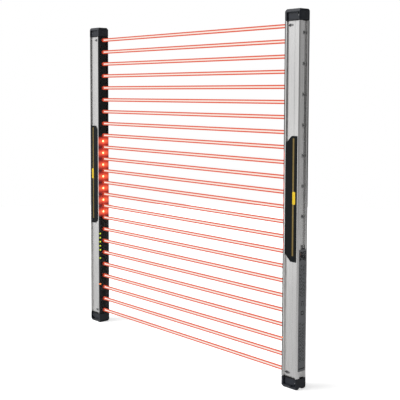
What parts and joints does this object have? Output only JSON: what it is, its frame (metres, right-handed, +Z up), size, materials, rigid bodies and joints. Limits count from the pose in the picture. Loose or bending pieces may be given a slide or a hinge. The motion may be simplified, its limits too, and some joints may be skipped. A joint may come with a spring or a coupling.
{
  "type": "safety light curtain",
  "caption": "Slim emitter and receiver columns that face each other and guard the field between them with parallel infrared beams.",
  "frame": {"origin": "on the floor plane, midway between the two columns", "axes": "+Z up along the columns, +X from the emitter to the receiver, -Y the side with the black side plates"},
  "size_m": [0.467, 0.0204, 0.502],
  "materials": {
    "satin_aluminium": "satin anodised",
    "dark_window": "dark tinted, polished",
    "seal_rubber": "matt",
    "cap_plastic": "fine moulded grain",
    "screw_steel": "plain zinc",
    "plate_black": "satin black",
    "mask_black": "matt",
    "lens_clear": "clear moulded",
    "optics_black": "matt",
    "board_green": "solder mask",
    "lamp_red": "lit red",
    "lamp_green": "lit green",
    "lamp_amber": "lit amber",
    "lamp_dark": "unlit",
    "carrier_grey": "matt",
    "part_black": "matt",
    "pin_gold": "gold plated",
    "ribbon_grey": "matt",
    "diode_dark": "moulded",
    "label_grey": "satin film"
  },
  "bodies": {
    "root": {"emitter_amber_lamp": "lamp_amber", "emitter_beam_diodes": "diode_dark", "emitter_board_carrier": "carrier_grey", "emitter_board_chips": "part_black", "emitter_board_headers": "part_black", "emitter_bottom_cap": "cap_plastic", "emitter_bottom_gasket": "seal_rubber", "emitter_cable_socket": "part_black", "emitter_cap_screws": "screw_steel", "emitter_control_board": "board_green", "emitter_green_lamps": "lamp_green", "emitter_housing": "satin_aluminium", "emitter_indicator_lamps": "lamp_red", "emitter_lens_frame": "optics_black", "emitter_lens_strip": "lens_clear", "emitter_optics_board": "board_green", "emitter_rear_screws": "screw_steel", "emitter_ribbon": "ribbon_grey", "emitter_side_plate": "plate_black", "emitter_slit_mask": "mask_black", "emitter_socket_pins": "pin_gold", "emitter_top_cap": "cap_plastic", "emitter_top_gasket": "seal_rubber", "emitter_unlit_lamps": "lamp_dark", "emitter_window": "dark_window", "emitter_window_seals": "seal_rubber", "receiver_amber_lamp": "lamp_amber", "receiver_board_carrier": "carrier_grey", "receiver_board_chips": "part_black", "receiver_board_headers": "part_black", "receiver_bottom_cap": "cap_plastic", "receiver_bottom_gasket": "seal_rubber", "receiver_cable_socket": "part_black", "receiver_cap_screws": "screw_steel", "receiver_control_board": "board_green", "receiver_green_lamps": "lamp_green", "receiver_housing": "satin_aluminium", "receiver_indicator_lamps": "lamp_red", "receiver_lens_frame": "optics_black", "receiver_lens_strip": "lens_clear", "receiver_optics_board": "board_green", "receiver_photodiodes": "diode_dark", "receiver_rear_label": "label_grey", "receiver_rear_screws": "screw_steel", "receiver_ribbon": "ribbon_grey", "receiver_side_plate": "plate_black", "receiver_slit_mask": "mask_black", "receiver_socket_pins": "pin_gold", "receiver_top_cap": "cap_plastic", "receiver_top_gasket": "seal_rubber", "receiver_unlit_lamps": "lamp_dark", "receiver_window": "dark_window", "receiver_window_seals": "seal_rubber"}
  },
  "joints": []
}
